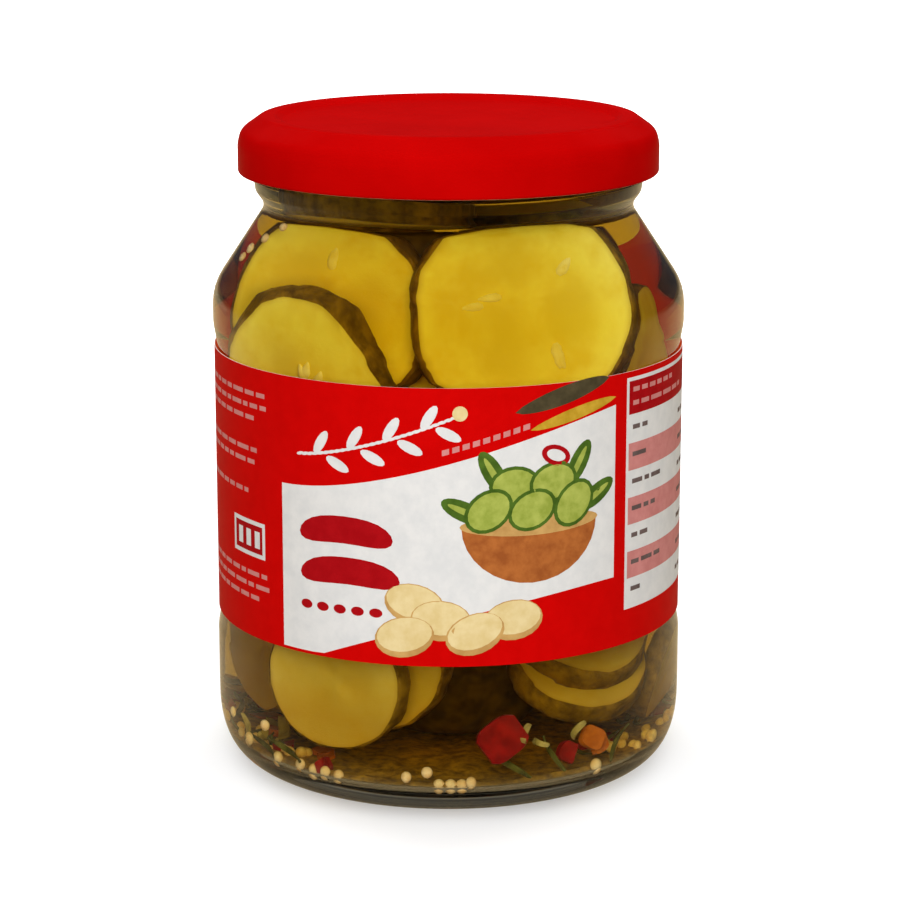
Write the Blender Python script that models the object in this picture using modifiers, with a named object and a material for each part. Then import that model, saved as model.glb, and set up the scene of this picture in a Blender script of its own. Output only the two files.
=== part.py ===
"""A shut glass jar of sliced gherkins in brine, with a red steel twist-off lid and a paper wrap label.

The jar stands on the XY plane with its axis on Z and its front towards -Y. Lengths are in metres.
"""

import math
import random

import bmesh
import bpy
from mathutils import Matrix, Vector

MM = 0.001

# Driving sizes of a 370 ml jar with a 66 mm twist-off lid
BODY_RADIUS = 39.0 * MM
LID_RADIUS = 34.5 * MM
TOTAL_HEIGHT = 108.1 * MM
WALL = 2.6 * MM
TURNED_STEPS = 64
FIT_GAP = 0.3 * MM

# Glass, from the ring that it stands on up to the rim of its mouth
STANDING_RADIUS = 31.0 * MM
STANDING_WIDTH = 2.5 * MM
PUSH_UP = 1.6 * MM
HEEL_HEIGHT = 12.0 * MM
HEEL_FULLNESS = 2.5
HEEL_POINTS = 5
FLOOR_THICKNESS = 2.3 * MM
FLOOR_CROWN = 1.3 * MM
FLOOR_RADIUS = 29.0 * MM
INNER_HEEL_HEIGHT = 9.0 * MM
SHOULDER_HEIGHT = 80.0 * MM
SHOULDER_ARC = 16.0 * MM
NECK_RADIUS = 30.0 * MM
NECK_HEIGHT = 93.6 * MM
NECK_ARC = 2.0 * MM
BEAD_RADIUS = 32.0 * MM
BEAD_HEIGHT = 97.0 * MM
BEAD_ARC = 1.4 * MM
FINISH_RADIUS = 31.2 * MM
RIM_HEIGHT = 106.5 * MM
RIM_ARC = 0.9 * MM

# Paper label, in a band of the glass that is set back to protect it
LABEL_LOW = 25.9 * MM
LABEL_HIGH = 70.6 * MM
LABEL_PAPER = 0.25 * MM
LABEL_SET_BACK = LABEL_PAPER + FIT_GAP
SET_BACK_STEP = 0.9 * MM

# Lid, pressed from sheet with a rolled lower edge
LID_LOW = 98.9 * MM
LID_SHEET = 0.6 * MM
LID_SHOULDER_DROP = 3.3 * MM
LID_SHOULDER_ARC = 2.6 * MM
LID_CREST_RADIUS = 30.6 * MM
LID_CREST_ARC = 1.6 * MM
LID_PANEL_RADIUS = 27.0 * MM
LID_PANEL_DROP = 0.7 * MM
LID_PANEL_ARC = 0.8 * MM
LID_ROLL = 1.0 * MM

# Gherkin slices
SLICE_THICKNESS = 4.2 * MM
SLICE_SIDES = 18
SLICE_OUT_OF_ROUND = 0.03
SLICE_TO_GLASS = 0.6 * MM
SETTLE_STEP = 0.25 * MM
HEAP_TO_GLASS = 0.4 * MM
CORE_RADIUS = 22.0 * MM
CORE_HIGH = 90.0 * MM
CORE_SIDES = 20
FOOT_HIGH = 6.2 * MM
FOOT_STEPS = 32

# Spices that settle on the floor of the jar
SEED_RADIUS = 1.05 * MM
SEED_COUNT = 30
SPICE_SEED = 66

ARC_STEP = math.radians(30)


def arc_corner(before, corner, after, radius):
    """The points that round one corner of an outline with an arc of this radius."""
    back, ahead = (before - corner).normalized(), (after - corner).normalized()
    half = back.angle(ahead) / 2
    reach = min(radius / math.tan(half), 0.49 * min((before - corner).length, (after - corner).length))
    arc = reach * math.tan(half)
    centre = corner + (back + ahead).normalized() * (arc / math.sin(half))
    start, turn = corner + back * reach - centre, math.pi - 2 * half
    sweep = math.copysign(turn, start.cross(corner + ahead * reach - centre))
    count = max(2, round(turn / ARC_STEP) + 1)
    return [centre + Matrix.Rotation(sweep * i / (count - 1), 2) @ start for i in range(count)]


def rounded(corners):
    """An outline through (radius, height, arc) corners, each rounded by its arc. The ends stay sharp."""
    points = [Vector(c[:2]) for c in corners]
    outline = [points[0]]
    for i in range(1, len(corners) - 1):
        if corners[i][2] > 0:
            outline += arc_corner(points[i - 1], points[i], points[i + 1], corners[i][2])
        else:
            outline.append(points[i])
    return outline + [points[-1]]


def heel(outer_radius, floor_radius, low, height):
    """The rounded corner between a wall and a floor, as a superellipse, from the wall down to the floor."""
    power = 2 / HEEL_FULLNESS
    points = []
    for i in range(HEEL_POINTS + 1):
        angle = math.pi / 2 * (1 - i / HEEL_POINTS)
        out = (outer_radius - floor_radius) * math.sin(angle) ** power
        up = height * (1 - max(math.cos(angle), 0.0) ** power)
        points.append((floor_radius + out, low + up, 0))
    return points


def inner_outline():
    """The inside of the glass, from the middle of its floor out and up to its rim."""
    body = BODY_RADIUS - WALL
    neck = NECK_RADIUS - WALL
    floor = PUSH_UP + FLOOR_THICKNESS
    return rounded(
        [(0, floor + FLOOR_CROWN, 0), (FLOOR_RADIUS * 0.6, floor + FLOOR_CROWN * 0.6, 0)]
        + heel(body, FLOOR_RADIUS, floor, INNER_HEEL_HEIGHT)[::-1]
        + [
            (body, SHOULDER_HEIGHT - 0.4 * MM, SHOULDER_ARC),
            (neck, NECK_HEIGHT - 0.4 * MM, NECK_ARC * 2),
            (neck, RIM_HEIGHT - 2 * RIM_ARC, 0),
        ]
    )


def inner_radius(height):
    """The inside radius of the glass at a height above its floor."""
    wall = [p for p in inner_outline() if p.x >= FLOOR_RADIUS - 2 * WALL]
    for below, above in zip(wall, wall[1:]):
        if below.y <= height <= above.y and above.y > below.y:
            return below.x + (above.x - below.x) * (height - below.y) / (above.y - below.y)
    return 0.0


def material(name, colour, roughness, metallic=0.0, transmission=0.0):
    made = bpy.data.materials.new(name)
    made.use_nodes = True
    shader = made.node_tree.nodes["Principled BSDF"]
    shader.inputs["Base Color"].default_value = (*colour, 1)
    shader.inputs["Roughness"].default_value = roughness
    shader.inputs["Metallic"].default_value = metallic
    shader.inputs["Transmission Weight"].default_value = transmission
    made.diffuse_color = (*colour, 1)
    return made


def placed(name, mesh, collection, finish):
    obj = bpy.data.objects.new(name, mesh)
    collection.objects.link(obj)
    mesh.materials.append(finish)
    return obj


def turned(name, outline, collection, finish, closed=False, steps=TURNED_STEPS):
    """A body turned round Z from an outline that runs down its outer side."""
    mesh = bpy.data.meshes.new(name)
    count = len(outline)
    edges = [(i, i + 1) for i in range(count - 1)] + ([(count - 1, 0)] if closed else [])
    mesh.from_pydata([(p[0], 0, p[1]) for p in outline], edges, [])
    obj = placed(name, mesh, collection, finish)
    screw = obj.modifiers.new("Turn", "SCREW")
    screw.axis = "Z"
    screw.steps = screw.render_steps = steps
    screw.use_merge_vertices = True
    screw.merge_threshold = 0.01 * MM
    weld = obj.modifiers.new("Close the poles", "WELD")
    weld.merge_threshold = 0.01 * MM
    return obj


def make_jar(collection):
    """The glass: a body with a band set back for the label, a sloping shoulder, a neck, a bead and a rim."""
    band = BODY_RADIUS - LABEL_SET_BACK
    ring_inner = STANDING_RADIUS - STANDING_WIDTH
    inside = inner_outline()
    outline = inside[:-1] + rounded(
        [
            (*inside[-1], 0),
            (NECK_RADIUS - WALL, RIM_HEIGHT, RIM_ARC),
            (FINISH_RADIUS, RIM_HEIGHT, RIM_ARC),
            (FINISH_RADIUS, BEAD_HEIGHT + 2.2 * MM, 0),
            (BEAD_RADIUS, BEAD_HEIGHT + 1.2 * MM, BEAD_ARC),
            (BEAD_RADIUS - 0.3 * MM, BEAD_HEIGHT - 1.0 * MM, BEAD_ARC),
            (NECK_RADIUS, NECK_HEIGHT, NECK_ARC),
            (BODY_RADIUS, SHOULDER_HEIGHT, SHOULDER_ARC),
            (BODY_RADIUS, LABEL_HIGH + 2 * SET_BACK_STEP, 0),
            (band, LABEL_HIGH + SET_BACK_STEP, 0),
            (band, LABEL_LOW - SET_BACK_STEP, 0),
            (BODY_RADIUS, LABEL_LOW - 2 * SET_BACK_STEP, 0),
        ]
        + heel(BODY_RADIUS, STANDING_RADIUS, 0, HEEL_HEIGHT)
        + [(ring_inner, 0, 0), (ring_inner - PUSH_UP, PUSH_UP * 0.8, 0), (0, PUSH_UP, 0)]
    )
    finish = material("Clear glass", (0.86, 0.9, 0.86), 0.02, transmission=1.0)
    return turned("jar", outline, collection, finish)


def make_lid(collection):
    """The steel lid: a recessed panel, a raised crest, a rounded shoulder and a skirt."""
    panel = TOTAL_HEIGHT - LID_PANEL_DROP
    corner = TOTAL_HEIGHT - LID_SHOULDER_DROP
    under = LID_SHEET
    roof = RIM_HEIGHT + FIT_GAP
    outline = rounded(
        [
            (0, panel, 0),
            (LID_PANEL_RADIUS, panel, 0),
            (LID_PANEL_RADIUS + 2 * LID_PANEL_DROP, TOTAL_HEIGHT, LID_PANEL_ARC),
            (LID_CREST_RADIUS, TOTAL_HEIGHT, LID_CREST_ARC),
            (LID_RADIUS - 0.5 * MM, corner + 0.9 * MM, LID_SHOULDER_ARC),
            (LID_RADIUS, corner - 1.2 * MM, LID_SHOULDER_ARC),
            (LID_RADIUS, LID_LOW, LID_ROLL * 0.6),
            (LID_RADIUS - LID_ROLL, LID_LOW, LID_ROLL * 0.5),
            (LID_RADIUS - LID_ROLL, LID_LOW + 2 * LID_ROLL, 0),
            (LID_RADIUS - under, LID_LOW + 2.6 * LID_ROLL, 0),
            (LID_RADIUS - under, corner - under, LID_SHOULDER_ARC - under),
            (LID_CREST_RADIUS, roof, 0),
            (0, roof, 0),
        ]
    )
    return turned("lid", outline, collection, material("Red enamel", (0.6, 0.004, 0.006), 0.3))


def make_label(collection):
    """The paper wrap, a thin band that stays clear of the glass behind it."""
    outer = BODY_RADIUS
    inner = outer - LABEL_PAPER
    outline = [
        Vector(p) for p in ((outer, LABEL_HIGH), (outer, LABEL_LOW), (inner, LABEL_LOW), (inner, LABEL_HIGH))
    ]
    finish = material("Printed paper", (0.62, 0.006, 0.008), 0.45)
    return turned("label", outline, collection, finish, closed=True)


def slice_places():
    """Bearing from the front, height, radius, lean, roll, depth behind the glass and yaw of each slice.

    The ones that show above and below the label at the front come first, by hand.
    The rest stand round the glass in three tiers by rule.
    """
    front = [
        (32, 78.4, 16.6, 13, 4, 0.0, -29),
        (-57, 77.0, 15.0, 7, -6, 3.2, 33),
        (-52, 65.4, 15.6, -11, 5, 0.0, 20),
        (0, 66.5, 7.5, -6, 0, 20.5, 0),
        (84, 66.0, 10.0, 0, 0, 8.6, 0),
        (-33, 20.4, 11.8, -4, 4, 0.2, 4),
        (-27, 23.5, 12.2, -5, 0, 6.0, 4),
        (-74, 20.0, 10.5, -2, 10, 6.5, 0),
        (50, 19.6, 11.0, 50, -14, 2.0, -12),
        (53, 25.8, 12.0, 51, -14, 2.0, -10),
        (84, 15.4, 8.8, -30, 0, 0.0, 0),
    ]
    places = [(b, h * MM, r * MM, lean, roll, depth * MM, yaw) for b, h, r, lean, roll, depth, yaw in front]
    draw = random.Random(SPICE_SEED)
    tiers = (
        (75.0, 9, 13.0, (180,), (136, 226)),
        (48.6, 0, 8.6, (22, 112, 202), (157, 247)),
        (22.2, -3, 8.6, (124, 190, 250), (157, 220)),
    )
    for height, lean, far_depth, near, far in tiers:
        for i, bearing in enumerate(near + far):
            behind = i >= len(near)
            radius = draw.uniform(9.4, 10.4) if behind else draw.uniform(12.6, 13.6)
            up = height * MM + draw.uniform(-0.8, 1.6) * MM
            tilt, roll = lean + draw.uniform(-5, 5), draw.uniform(-9, 9)
            places.append((bearing, up, radius * MM, tilt, roll, behind * far_depth * MM, 0))
    # Four lie flat under the lid and fill the neck
    flat = ((112, 89.8, 11.4, 2.6), (248, 90.2, 11.4, 2.6), (310, 96.0, 13.4, 0), (130, 96.2, 13.4, 0))
    for bearing, height, radius, depth in flat:
        places.append((bearing, height * MM, radius * MM, 80, 0, depth * MM, 180 - bearing))
    return places


def slice_mesh(radius, phase):
    """One slice: a short cylinder a little out of round, with the edge of its face eased."""
    bm = bmesh.new()
    bmesh.ops.create_cone(
        bm, cap_ends=True, segments=SLICE_SIDES, radius1=radius, radius2=radius, depth=SLICE_THICKNESS
    )
    for v in bm.verts:
        angle = math.atan2(v.co.y, v.co.x)
        swell = 1 + SLICE_OUT_OF_ROUND * math.sin(3 * angle + phase) * 0.6
        swell += SLICE_OUT_OF_ROUND * math.sin(2 * angle + 2 * phase) * 0.7
        v.co.x *= swell
        v.co.y *= swell
    mesh = bpy.data.meshes.new("slice")
    bm.to_mesh(mesh)
    bm.free()
    return mesh


def slice_frame(bearing, height, distance, lean, roll, yaw):
    """The matrix that stands a slice up, facing out at this bearing and leaning in at the top."""
    stand = Matrix.Rotation(math.radians(90), 4, "X")
    tilt = Matrix.Rotation(math.radians(-lean), 4, "X") @ Matrix.Rotation(math.radians(roll), 4, "Y")
    aim = Matrix.Rotation(math.radians(yaw), 4, "Z")
    turn = Matrix.Rotation(math.radians(bearing), 4, "Z")
    return turn @ Matrix.Translation((0, -distance, height)) @ aim @ tilt @ stand


def fits(mesh, frame):
    """Whether every point of a slice is clear of the glass and of the floor."""
    for v in mesh.vertices:
        point = frame @ v.co
        if point.z < FOOT_HIGH or math.hypot(point.x, point.y) > inner_radius(point.z) - SLICE_TO_GLASS:
            return False
    return True


def add_slices(collection, finish):
    """The slices, each pushed in from the glass until it fits."""
    for i, (bearing, height, radius, lean, roll, depth, yaw) in enumerate(slice_places()):
        mesh = slice_mesh(radius, 1.3 * i)
        obj = placed(f"slice_{i}", mesh, collection, finish)
        distance = BODY_RADIUS - WALL
        while not fits(mesh, slice_frame(bearing, height, distance, lean, roll, yaw)) and distance > 0:
            distance -= SETTLE_STEP
        if distance <= 0:
            raise ValueError(f"slice {i} fits nowhere")
        obj.matrix_world = slice_frame(bearing, height, distance - depth, lean, roll, yaw)


def add_spices(collection, finish):
    """Mustard seeds in the corner of the floor, sunk a little into the foot of the heap."""
    draw = random.Random(SPICE_SEED)
    height = FOOT_HIGH + 0.45 * SEED_RADIUS
    reach = inner_radius(height) - HEAP_TO_GLASS - SEED_RADIUS
    for i in range(SEED_COUNT):
        bearing = math.radians(360 * (i + draw.uniform(-0.35, 0.35)) / SEED_COUNT)
        out = reach - draw.uniform(0.2, 3.4) * MM
        mesh = bpy.data.meshes.new("seed")
        bm = bmesh.new()
        bmesh.ops.create_uvsphere(bm, u_segments=6, v_segments=4, radius=SEED_RADIUS)
        bm.to_mesh(mesh)
        bm.free()
        obj = placed(f"seed_{i}", mesh, collection, finish)
        obj.location = (out * math.sin(bearing), -out * math.cos(bearing), height)


def keep_outer_shell(mesh):
    """Drop everything but the largest connected shell, which fills the hollows that slices close off."""
    bm = bmesh.new()
    bm.from_mesh(mesh)
    left, shells = set(bm.faces), []
    while left:
        front = [left.pop()]
        shell = list(front)
        while front:
            near = {f for e in front.pop().edges for f in e.link_faces} & left
            left -= near
            front += near
            shell += near
        shells.append(shell)
    largest = max(shells, key=lambda shell: sum(f.calc_area() for f in shell))
    spare = [f for shell in shells if shell is not largest for f in shell]
    bmesh.ops.delete(bm, geom=spare, context="FACES")
    bm.to_mesh(mesh)
    bm.free()


def make_core(collection, finish):
    """The middle of the heap, hidden behind the slices."""
    low = PUSH_UP + FLOOR_THICKNESS + FLOOR_CROWN + HEAP_TO_GLASS
    bm = bmesh.new()
    bmesh.ops.create_cone(
        bm,
        cap_ends=True,
        segments=CORE_SIDES,
        radius1=CORE_RADIUS,
        radius2=CORE_RADIUS * 0.9,
        depth=CORE_HIGH - low,
        matrix=Matrix.Translation((0, 0, (CORE_HIGH + low) / 2)),
    )
    mesh = bpy.data.meshes.new("core")
    bm.to_mesh(mesh)
    bm.free()
    return placed("gherkins", mesh, collection, finish)


def add_foot(collection, finish):
    """The low foot of the heap, which follows the floor of the jar at a small distance."""
    reach = inner_radius(FOOT_HIGH) - HEAP_TO_GLASS
    floor = PUSH_UP + FLOOR_THICKNESS + HEAP_TO_GLASS
    outline = [
        (0, FOOT_HIGH),
        (reach - HEAP_TO_GLASS, FOOT_HIGH),
        (inner_radius(floor + HEAP_TO_GLASS) - 3 * HEAP_TO_GLASS, floor + 2 * HEAP_TO_GLASS),
        (FLOOR_RADIUS * 0.6, floor + FLOOR_CROWN * 0.6 + HEAP_TO_GLASS),
        (0, floor + FLOOR_CROWN + HEAP_TO_GLASS),
    ]
    turned("foot", [Vector(p) for p in outline], collection, finish, steps=FOOT_STEPS)


def make_gherkins(collection):
    """The heap: the core with every slice and seed that shows joined to it as one body."""
    finish = material("Pickled gherkin", (0.5, 0.4, 0.06), 0.4)
    heap = bpy.data.collections.new("heap pieces")
    bpy.context.scene.collection.children.link(heap)
    add_foot(heap, finish)
    add_slices(heap, finish)
    add_spices(heap, finish)
    core = make_core(collection, finish)
    union = core.modifiers.new("Join the heap", "BOOLEAN")
    union.operand_type = "COLLECTION"
    union.collection = heap
    union.operation = "UNION"
    union.solver = "MANIFOLD"
    bpy.context.view_layer.update()
    joined = bpy.data.meshes.new_from_object(core.evaluated_get(bpy.context.evaluated_depsgraph_get()))
    keep_outer_shell(joined)
    core.modifiers.clear()
    core.data = joined
    for obj in list(heap.objects):
        bpy.data.objects.remove(obj)
    bpy.data.collections.remove(heap)
    return core


def main():
    for obj in list(bpy.data.objects):
        bpy.data.objects.remove(obj)
    collection = bpy.data.collections.new("Gherkin jar")
    bpy.context.scene.collection.children.link(collection)
    make_jar(collection)
    make_lid(collection)
    make_label(collection)
    make_gherkins(collection)


main()
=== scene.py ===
"""Looks of a shut glass jar of sliced gherkins in brine, with a red steel lid and a printed paper wrap.

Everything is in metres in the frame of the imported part: axis on Z, front towards -Y, floor at zero.
"""

import math
import random

import bmesh
import bpy
from mathutils import Matrix, Vector, noise


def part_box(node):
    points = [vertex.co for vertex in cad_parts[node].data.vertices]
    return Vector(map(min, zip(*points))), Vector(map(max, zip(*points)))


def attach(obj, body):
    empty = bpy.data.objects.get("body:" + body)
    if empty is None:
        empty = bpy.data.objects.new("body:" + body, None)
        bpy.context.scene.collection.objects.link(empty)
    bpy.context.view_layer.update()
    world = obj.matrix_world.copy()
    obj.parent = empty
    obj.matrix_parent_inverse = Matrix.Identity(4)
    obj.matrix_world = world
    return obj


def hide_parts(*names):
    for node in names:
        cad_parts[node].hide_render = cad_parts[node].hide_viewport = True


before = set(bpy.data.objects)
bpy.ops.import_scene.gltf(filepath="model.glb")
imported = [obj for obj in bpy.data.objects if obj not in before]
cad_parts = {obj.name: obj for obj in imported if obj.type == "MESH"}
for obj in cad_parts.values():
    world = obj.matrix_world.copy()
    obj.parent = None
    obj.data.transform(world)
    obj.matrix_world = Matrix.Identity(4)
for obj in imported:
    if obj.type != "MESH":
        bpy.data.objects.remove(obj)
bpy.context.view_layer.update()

MM = 0.001

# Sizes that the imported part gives
BODY_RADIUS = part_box("jar")[1].x
RIM_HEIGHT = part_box("jar")[1].z
LID_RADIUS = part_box("lid")[1].x
LID_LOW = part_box("lid")[0].z
TOTAL_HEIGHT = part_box("lid")[1].z
LABEL_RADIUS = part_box("label")[1].x
LABEL_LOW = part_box("label")[0].z
LABEL_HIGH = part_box("label")[1].z

# Glass, from the ring that it stands on up to the rim of its mouth
WALL = 2.6 * MM
STANDING_RADIUS = 31.0 * MM
STANDING_WIDTH = 2.5 * MM
PUSH_UP = 1.6 * MM
HEEL_HEIGHT = 12.0 * MM
HEEL_FULLNESS = 2.5
HEEL_POINTS = 16
FLOOR_THICKNESS = 2.3 * MM
FLOOR_CROWN = 1.3 * MM
FLOOR_RADIUS = 29.0 * MM
INNER_HEEL_HEIGHT = 9.0 * MM
SHOULDER_HEIGHT = 80.0 * MM
SHOULDER_ARC = 16.0 * MM
NECK_RADIUS = 30.0 * MM
NECK_HEIGHT = 93.6 * MM
NECK_ARC = 2.0 * MM
BEAD_RADIUS = 32.0 * MM
BEAD_HEIGHT = 97.0 * MM
BEAD_ARC = 1.4 * MM
FINISH_RADIUS = 31.2 * MM
RIM_ARC = 0.9 * MM
SET_BACK_STEP = 0.9 * MM
SET_BACK_ARC = 4.0 * MM
LABEL_SET_BACK = 0.55 * MM
GLASS_STEPS = 180
ARC_STEP = math.radians(9)

# Lid
LID_SHEET = 0.6 * MM
LID_SHOULDER_DROP = 3.3 * MM
LID_SHOULDER_ARC = 2.6 * MM
LID_CREST_RADIUS = 30.6 * MM
LID_CREST_ARC = 1.6 * MM
LID_PANEL_RADIUS = 27.0 * MM
LID_PANEL_DROP = 0.7 * MM
LID_PANEL_ARC = 0.8 * MM
LID_ROLL = 1.0 * MM
LID_GAP = 0.3 * MM

# Brine, which reaches just into the glass
BRINE_INTO_GLASS = 0.12 * MM
BRINE_LEVEL = 101.0 * MM
BRINE_DIP = 0.3 * MM

# Label: a paper wrap under thin layers of ink
LABEL_STEPS = 120
PAPER_UNDER = 0.25 * MM
PAPER_OUTER = 0.12 * MM
INK_LAYER = 0.0085 * MM
INK_LAYERS = 13
PANEL_LEFT = -29.0
PANEL_RIGHT = 29.0
PANEL_POINTS = 28
SEAM = (119.0, 125.0)
SEAM_MARGIN = 0.2

# Gherkin slices: swells, lumps and warts are shares of a slice's radius
SLICE_THICKNESS = 4.2 * MM
SLICE_TO_GLASS = 0.6 * MM
SLICE_STEPS = 96
SKIN_STARTS = 0.965
LOBE_SWELL = 0.012
OVAL_SWELL = 0.016
LUMP = 0.026
WART = 0.02
FACE_RIPPLE = 0.25 * MM
RIPPLES_PER_METRE = 130
LUMPS_PER_RIPPLE = 2.6
WARTS_PER_RIPPLE = 4.4
SEED_ZONE = 0.66
SEED_ZONE_SINK = 0.35 * MM
SLICE_BEND = 0.7 * MM
SETTLE_STEP = 0.25 * MM
INNER_DEPTH = 14.5 * MM
FLAT_LEAN = 80

# Seeds in their faces
SEED_LENGTH = 3.6 * MM
SEED_WIDTH = 1.5 * MM
SEED_THICKNESS = 0.6 * MM
SEED_SINK = 0.3 * MM
SEEDS_ABOVE = 30.0 * MM
SEEDS_BEFORE = 8.0 * MM

# Core of the heap
HEAP_FLOOR = 6.2 * MM
CORE_RADIUS = 13.0 * MM
CORE_HIGH = 89.0 * MM
CORE_LUMP = 2.2 * MM
CORE_LUMPS_PER_METRE = 160

# Spices and bits of vegetable
SPICE_SEED = 66
MUSTARD_RADIUS = 0.95 * MM
MUSTARD_ON_FLOOR = 76
BIT_TO_GLASS = 2.4 * MM
BED_RADIUS = 33.0 * MM
BED_DEPTH = 0.9 * MM
BED_LUMP = 0.7 * MM
BED_LUMPS_PER_METRE = 420

# Patterns of the finishes
MOULD_RIPPLE = 18.2 * MM
FLESH_BLOTCH = 5.88 * MM
FLESH_PORE = 0.77 * MM
PAPER_TOOTH = 3.33 * MM
# Heights over which painted shade darkens and browns the cut flesh: full below the first, gone above the
# second
STAIN_FULL = 14.0 * MM
STAIN_GONE = 45.0 * MM

# The photo was taken from 470 mm in front of the jar's axis and 164.5 mm above its floor
CAMERA_PLACE = Vector((0.25, -470.0, 164.5)) * MM
CAMERA_PITCH = math.radians(13.51)
CAMERA_LENS = 115.1

# The studio: how strongly the backdrop lights the jar from the sides and from above, and its paper
LIGHT_FROM_SIDE = 0.08
LIGHT_FROM_ABOVE = 0.6
PAPER_SIZE = 6.0
LAMP_TARGET = Vector((0, 0, 55)) * MM


def linear(code):
    """The linear colour of an sRGB hex code."""
    channels = [int(code[i : i + 2], 16) / 255 for i in (0, 2, 4)]
    return [c / 12.92 if c <= 0.04045 else ((c + 0.055) / 1.055) ** 2.4 for c in channels] + [1.0]


def add(tree, kind, settings=None, links=None):
    """One node with its properties and socket values, linked from other nodes' sockets."""
    made = tree.nodes.new("ShaderNode" + kind)
    for key, value in (settings or {}).items():
        if isinstance(key, int) or key in made.inputs:
            made.inputs[key].default_value = value
        else:
            setattr(made, key, value)
    for key, source in (links or {}).items():
        tree.links.new(source, made.inputs[key])
    return made


def material(name):
    """An empty material with its output node."""
    made = bpy.data.materials.new(name)
    made.use_nodes = True
    made.node_tree.nodes.clear()
    return made, made.node_tree, add(made.node_tree, "OutputMaterial")


def arc_corner(before, corner, after, radius):
    """The points that round one corner of an outline with an arc of this radius."""
    back, ahead = (before - corner).normalized(), (after - corner).normalized()
    half = back.angle(ahead) / 2
    reach = min(radius / math.tan(half), 0.49 * min((before - corner).length, (after - corner).length))
    arc = reach * math.tan(half)
    centre = corner + (back + ahead).normalized() * (arc / math.sin(half))
    start, turn = corner + back * reach - centre, math.pi - 2 * half
    sweep = math.copysign(turn, start.cross(corner + ahead * reach - centre))
    count = max(2, round(turn / ARC_STEP) + 1)
    return [centre + Matrix.Rotation(sweep * i / (count - 1), 2) @ start for i in range(count)]


def rounded(corners):
    """An outline through (radius, height, arc) corners, each rounded by its arc."""
    points = [Vector(c[:2]) for c in corners]
    outline = [points[0]]
    for i in range(1, len(corners) - 1):
        if corners[i][2] > 0:
            outline += arc_corner(points[i - 1], points[i], points[i + 1], corners[i][2])
        else:
            outline.append(points[i])
    return outline + [points[-1]]


def heel(outer_radius, floor_radius, low, height):
    """The rounded corner between a wall and a floor, as a superellipse, from the wall down."""
    power = 2 / HEEL_FULLNESS
    points = []
    for i in range(HEEL_POINTS + 1):
        angle = math.pi / 2 * (1 - i / HEEL_POINTS)
        out = (outer_radius - floor_radius) * math.sin(angle) ** power
        up = height * (1 - max(math.cos(angle), 0.0) ** power)
        points.append((floor_radius + out, low + up, 0))
    return points


def inner_outline(grow=0.0):
    """The inside of the glass from the middle of its floor up to its rim, grown into the wall."""
    body = BODY_RADIUS - WALL + grow
    neck = NECK_RADIUS - WALL + grow
    floor = PUSH_UP + FLOOR_THICKNESS - grow
    return rounded(
        [(0, floor + FLOOR_CROWN, 0), (FLOOR_RADIUS * 0.6, floor + FLOOR_CROWN * 0.6, 0)]
        + heel(body, FLOOR_RADIUS, floor, INNER_HEEL_HEIGHT)[::-1]
        + [
            (body, SHOULDER_HEIGHT - 0.4 * MM, SHOULDER_ARC),
            (neck, NECK_HEIGHT - 0.4 * MM, NECK_ARC * 2),
            (neck, RIM_HEIGHT - 2 * RIM_ARC, 0),
        ]
    )


INSIDE = inner_outline()
INNER_WALL = [p for p in INSIDE if p.x >= FLOOR_RADIUS - 2 * WALL]


def inner_radius(height):
    """The inside radius of the glass at a height above its floor."""
    for below, above in zip(INNER_WALL, INNER_WALL[1:]):
        if below.y <= height <= above.y and above.y > below.y:
            return below.x + (above.x - below.x) * (height - below.y) / (above.y - below.y)
    return 0.0


def floor_height(radius):
    """The height of the inside of the glass floor at a distance from the axis."""
    for near, far in zip(INSIDE, INSIDE[1:]):
        if near.x <= radius <= far.x and far.x > near.x:
            return near.y + (far.y - near.y) * (radius - near.x) / (far.x - near.x)
    return INSIDE[0].y


def turned(outline, closed=False, steps=GLASS_STEPS):
    """A bmesh of a body turned round Z from an outline."""
    bm = bmesh.new()
    verts = [bm.verts.new((p[0], 0, p[1])) for p in outline]
    edges = [bm.edges.new(pair) for pair in zip(verts, verts[1:])]
    if closed:
        edges.append(bm.edges.new((verts[-1], verts[0])))
    bmesh.ops.spin(
        bm,
        geom=verts + edges,
        cent=(0, 0, 0),
        axis=(0, 0, 1),
        angle=2 * math.pi,
        steps=steps,
        use_merge=True,
    )
    bmesh.ops.remove_doubles(bm, verts=bm.verts, dist=0.002 * MM)
    bmesh.ops.recalc_face_normals(bm, faces=bm.faces)
    return bm


def piece(name, bm, materials, sharp=35):
    """A finished piece that rides on the jar, smooth but for edges sharper than an angle."""
    mesh = bpy.data.meshes.new(name)
    for face in bm.faces:
        face.smooth = True
    bm.to_mesh(mesh)
    bm.free()
    mesh.set_sharp_from_angle(angle=math.radians(sharp))
    for finish in materials:
        mesh.materials.append(finish)
    obj = bpy.data.objects.new(name, mesh)
    bpy.context.scene.collection.objects.link(obj)
    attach(obj, "root")
    return obj


def lets_shadows_through(tree, output, clear):
    """Clear pieces pass the lamps' light straight on, which spares it the bends that glass gives it."""
    path = add(tree, "LightPath")
    through = add(tree, "BsdfTransparent", {"Color": linear("FFFFFF")})
    mixed = add(
        tree,
        "MixShader",
        links={0: path.outputs["Is Shadow Ray"], 1: clear.outputs["BSDF"], 2: through.outputs["BSDF"]},
    )
    tree.links.new(mixed.outputs["Shader"], output.inputs["Surface"])


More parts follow.
